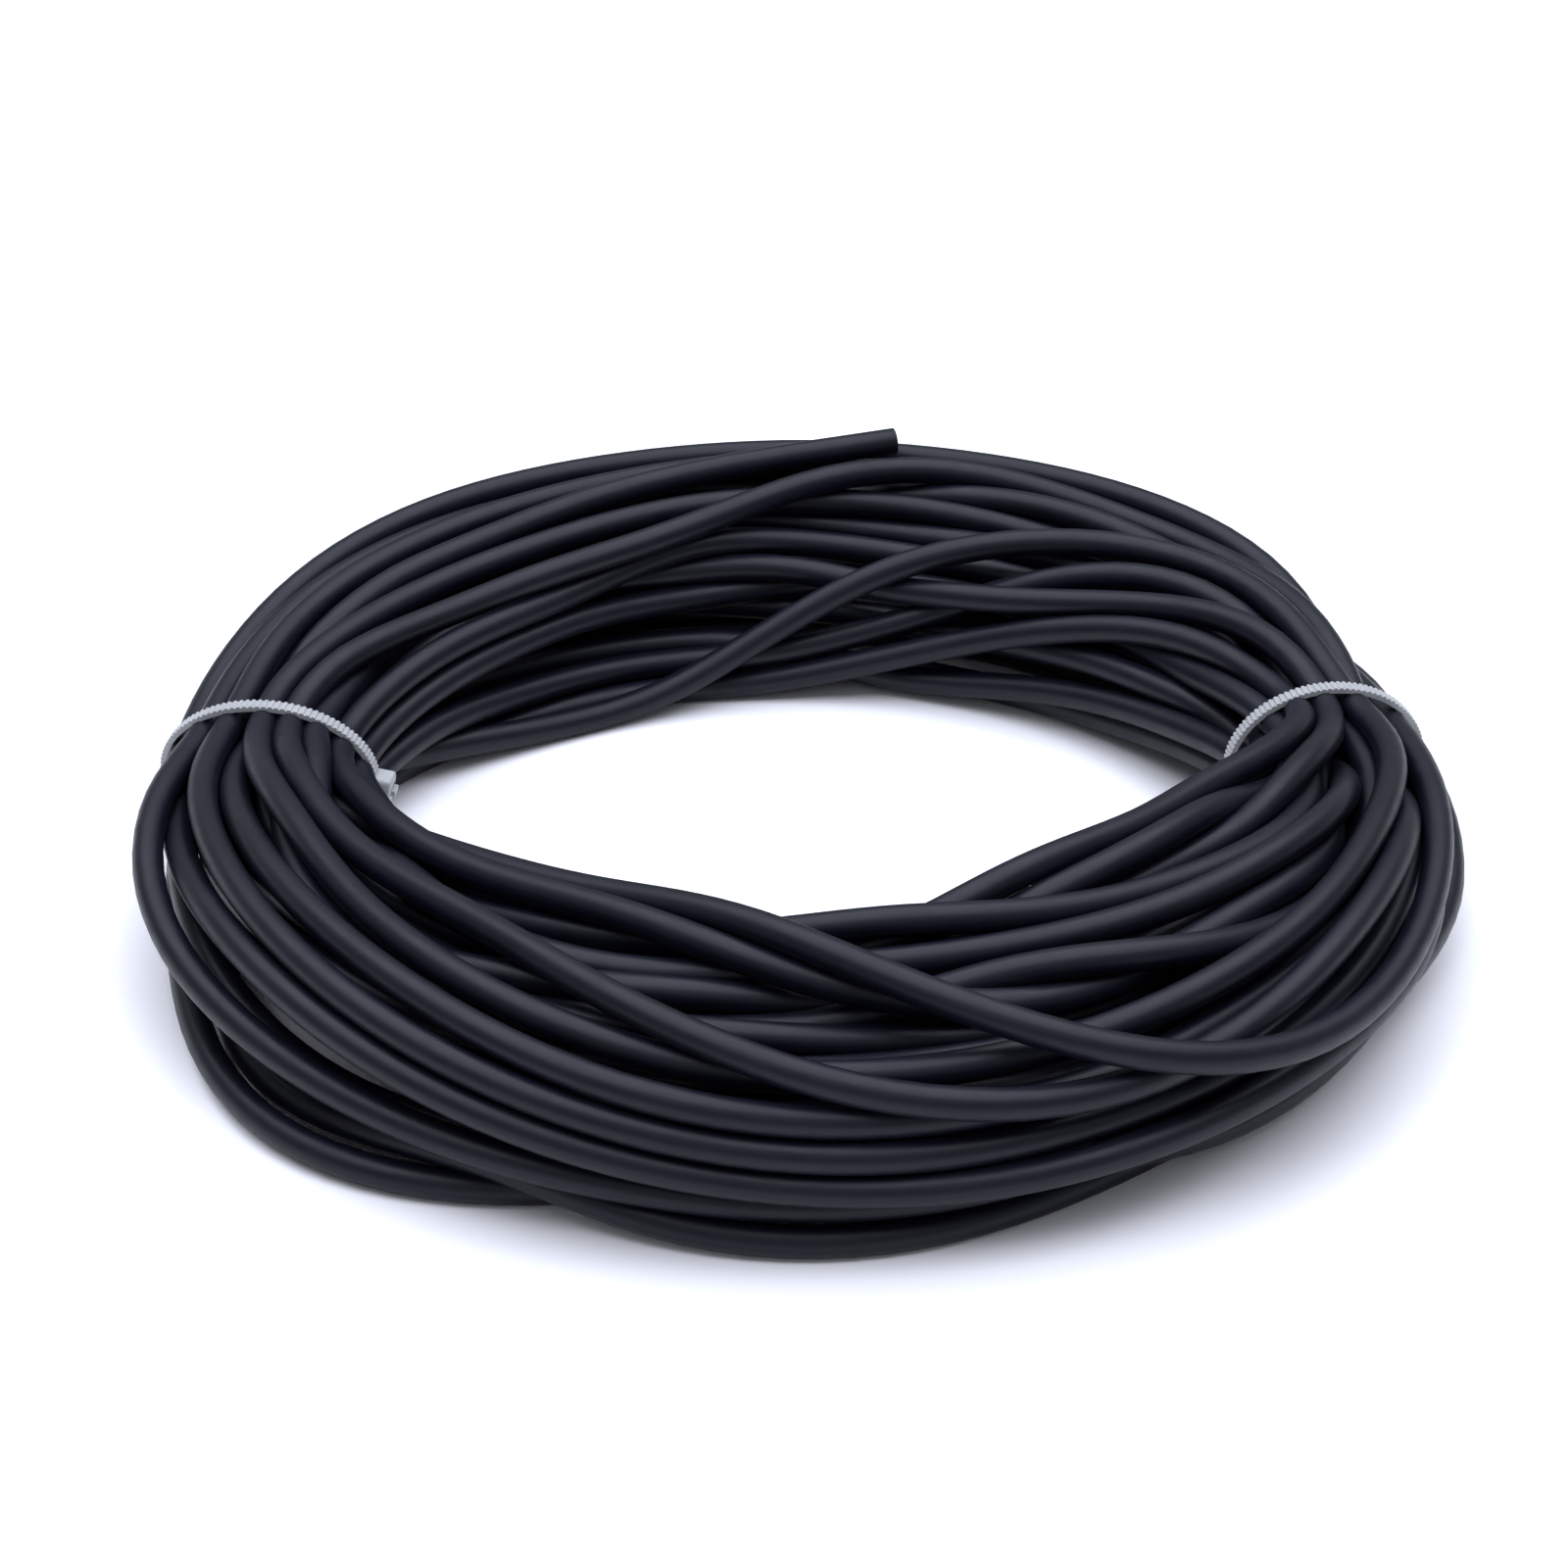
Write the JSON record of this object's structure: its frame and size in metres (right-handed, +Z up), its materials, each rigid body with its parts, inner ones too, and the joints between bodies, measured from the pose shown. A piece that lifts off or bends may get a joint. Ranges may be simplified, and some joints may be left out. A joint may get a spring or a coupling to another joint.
{
  "type": "coiled rubber tube",
  "caption": "Long soft rubber tube wound into a flat ring-shaped coil, held by narrow toothed cable ties at its sides, with a cut end lying free on top.",
  "frame": {"origin": "on the surface the coil lies on, at the centre of the ring", "axes": "+Z up, along the ring's axis; the cable ties lie near -X and +X, and the free end lies on the +Y side"},
  "size_m": [0.2163, 0.2164, 0.0389],
  "materials": {
    "tube_rubber": "satin",
    "tie_nylon": "satin"
  },
  "bodies": {
    "root": {"tube_coil": "tube_rubber", "tube_free_end": "tube_rubber", "left_cable_tie": "tie_nylon", "right_cable_tie": "tie_nylon"}
  },
  "joints": []
}
